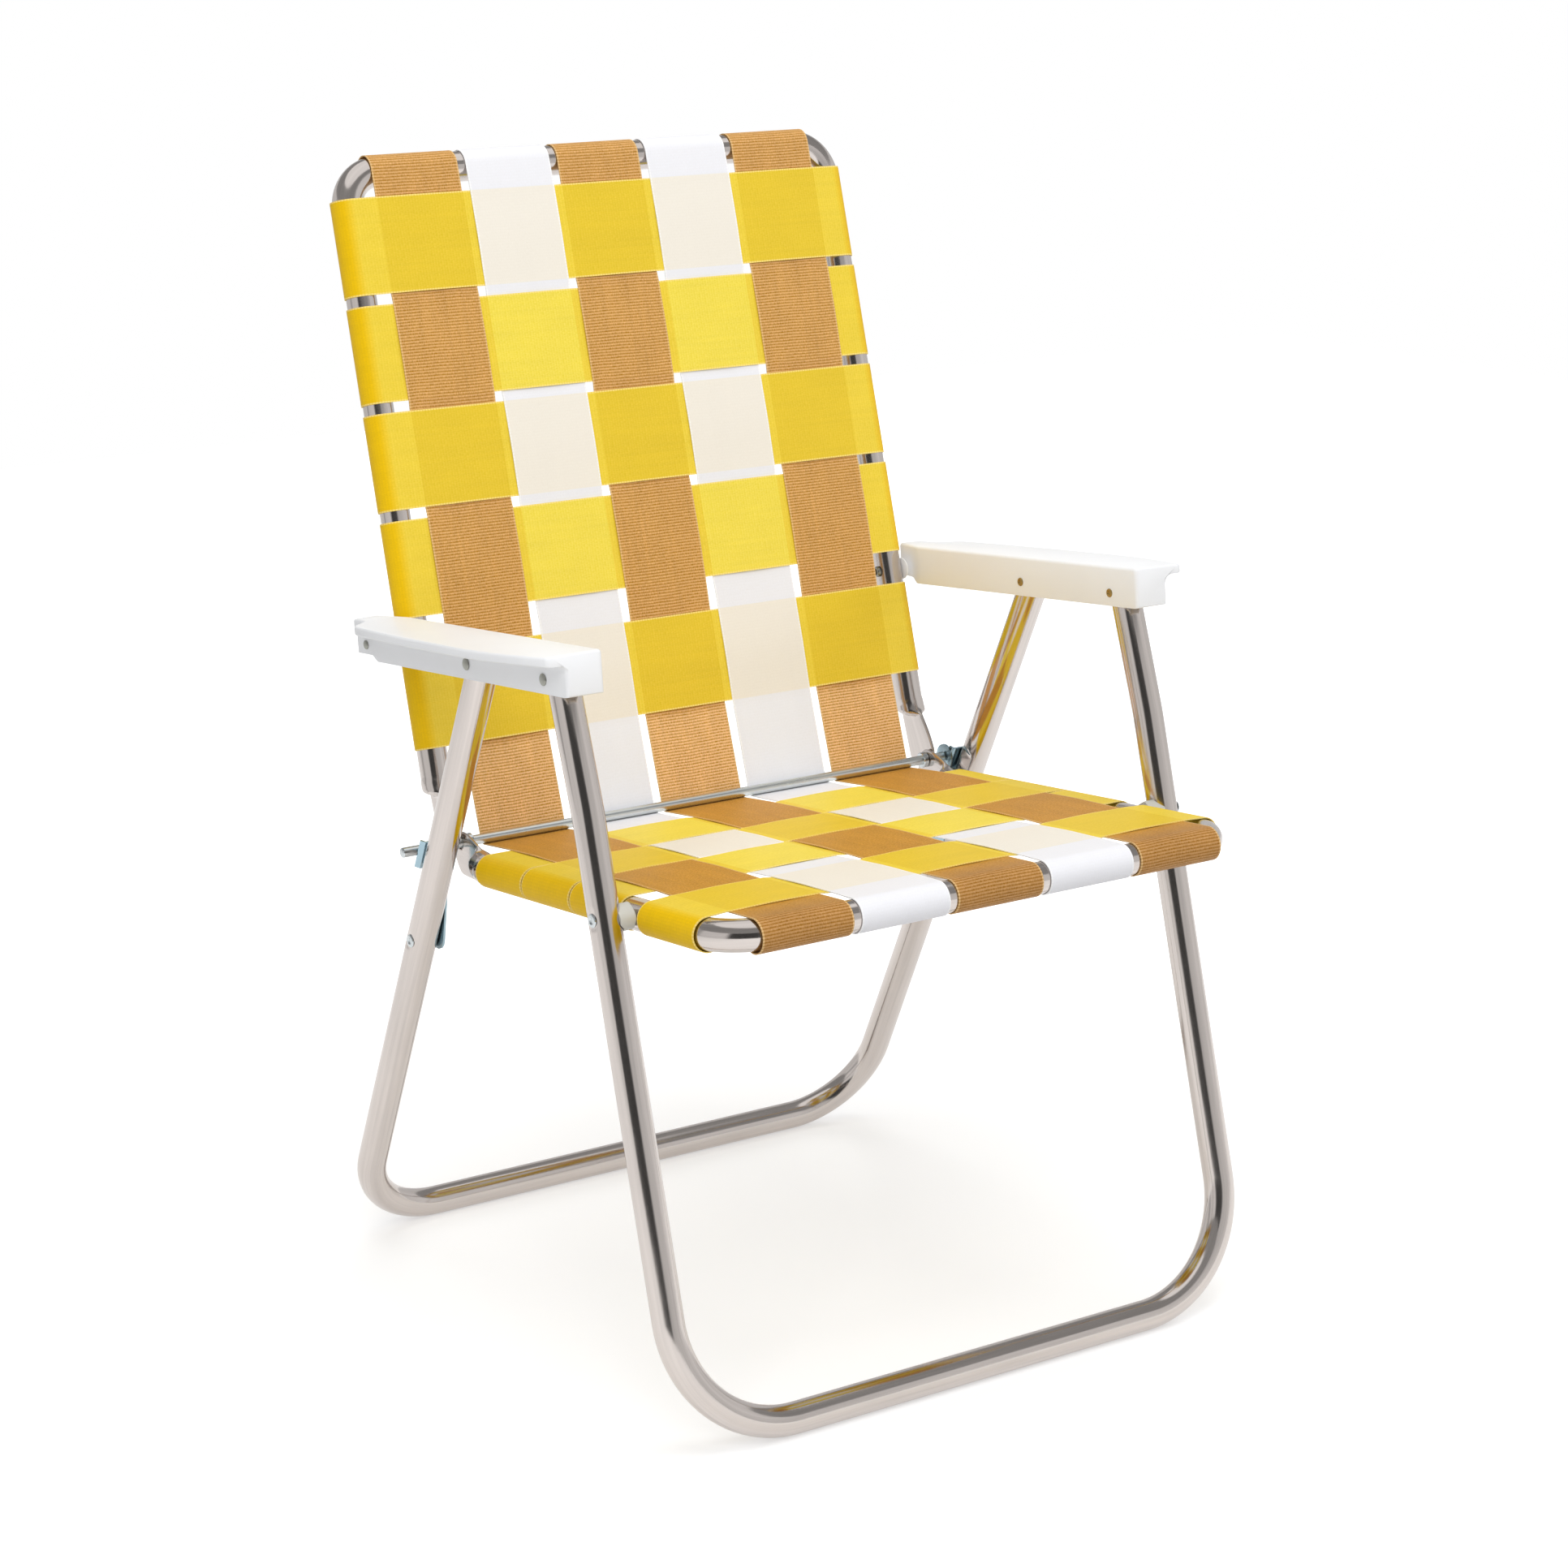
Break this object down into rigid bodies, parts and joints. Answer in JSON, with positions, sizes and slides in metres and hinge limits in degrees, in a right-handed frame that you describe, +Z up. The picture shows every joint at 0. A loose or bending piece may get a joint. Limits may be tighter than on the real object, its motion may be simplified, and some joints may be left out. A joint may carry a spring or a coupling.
{
  "type": "folding webbed lawn chair",
  "caption": "Folding garden armchair: bent aluminium tube legs, woven webbing seat and back, plastic armrests and rear locking brackets.",
  "frame": {"origin": "on the floor under the middle of the opened chair's bounding box", "axes": "+Z up, -Y the way the sitter faces, +X the sitter's left"},
  "size_m": [0.5976, 0.5806, 0.8896],
  "materials": {
    "tube": "polished",
    "zinc": "bright zinc plated",
    "bracket_steel": "blue zinc plated",
    "arm_plastic": "satin",
    "yellow_webbing": "woven, slight sheen",
    "tan_webbing": "woven, slight sheen",
    "white_webbing": "woven, slight sheen"
  },
  "bodies": {
    "back": {"back_frame": "tube", "hinge_rod": "zinc", "rod_collar_right": "zinc", "rod_collar_left": "zinc", "armrest_bolt_right": "zinc", "armrest_bolt_left": "zinc", "armrest_washer_right": "arm_plastic", "armrest_washer_left": "arm_plastic", "back_cross_strap_1": "yellow_webbing", "back_cross_strap_2": "yellow_webbing", "back_cross_strap_3": "yellow_webbing", "back_cross_strap_4": "yellow_webbing", "back_cross_strap_5": "yellow_webbing", "back_long_strap_1": "tan_webbing", "back_long_strap_2": "white_webbing", "back_long_strap_3": "tan_webbing", "back_long_strap_4": "white_webbing", "back_long_strap_5": "tan_webbing"},
    "seat": {"seat_frame": "tube", "seat_cross_strap_1": "yellow_webbing", "seat_cross_strap_2": "yellow_webbing", "seat_cross_strap_3": "yellow_webbing", "seat_cross_strap_4": "yellow_webbing", "seat_long_strap_1": "tan_webbing", "seat_long_strap_2": "white_webbing", "seat_long_strap_3": "tan_webbing", "seat_long_strap_4": "white_webbing", "seat_long_strap_5": "tan_webbing"},
    "right_arm": {"armrest_right": "arm_plastic", "armrest_rivet_front_right": "zinc", "armrest_rivet_middle_right": "zinc", "armrest_rivet_rear_right": "zinc"},
    "left_arm": {"armrest_left": "arm_plastic", "armrest_rivet_front_left": "zinc", "armrest_rivet_middle_left": "zinc", "armrest_rivet_rear_left": "zinc"},
    "front_legs": {"front_leg_frame": "tube", "seat_rivet_right": "zinc", "seat_rivet_left": "zinc", "leg_spacer_right": "arm_plastic", "leg_spacer_left": "arm_plastic"},
    "rear_legs": {"rear_leg_frame": "tube", "bracket_rivet_right": "zinc", "bracket_rivet_left": "zinc"},
    "right_lock": {"lock_bracket_right": "bracket_steel", "lock_pin_right": "zinc"},
    "left_lock": {"lock_bracket_left": "bracket_steel", "lock_pin_left": "zinc"}
  },
  "joints": [
    {"name": "fold", "type": "hinge", "parent": "back", "child": "seat", "pos_m": [0, 0.11425, 0.371], "axis": [-1, 0, 0], "range_deg": [0, 86]},
    {"name": "right_arm_pivot", "type": "hinge", "parent": "back", "child": "right_arm", "pos_m": [0, 0.17505, 0.524], "axis": [-1, 0, 0], "range_deg": [0, 84.9]},
    {"name": "left_arm_pivot", "type": "hinge", "parent": "back", "child": "left_arm", "pos_m": [0, 0.17505, 0.524], "axis": [-1, 0, 0], "range_deg": [0, 84.9]},
    {"name": "front_leg_pivot", "type": "hinge", "parent": "seat", "child": "front_legs", "pos_m": [0, -0.16105, 0.3845], "axis": [1, 0, 0], "range_deg": [0, 80.9]},
    {"name": "rear_leg_pivot", "type": "hinge", "parent": "right_arm", "child": "rear_legs", "pos_m": [0, 0.00885, 0.5402], "axis": [1, 0, 0], "range_deg": [0, 37]},
    {"name": "right_lock_pivot", "type": "hinge", "parent": "rear_legs", "child": "right_lock", "pos_m": [0, 0.12775, 0.294], "axis": [-1, 0, 0], "range_deg": [0, 110.6]},
    {"name": "left_lock_pivot", "type": "hinge", "parent": "rear_legs", "child": "left_lock", "pos_m": [0, 0.12775, 0.294], "axis": [-1, 0, 0], "range_deg": [0, 110.6]}
  ],
  "couplings": [
    {"joint": "right_arm_pivot", "follows": "fold", "ratio": 0.9876},
    {"joint": "left_arm_pivot", "follows": "fold", "ratio": 0.9876},
    {"joint": "front_leg_pivot", "follows": "fold", "ratio": 0.94023},
    {"joint": "rear_leg_pivot", "follows": "fold", "ratio": 0.43051},
    {"joint": "right_lock_pivot", "follows": "fold", "ratio": 1.2863},
    {"joint": "left_lock_pivot", "follows": "fold", "ratio": 1.2863}
  ]
}
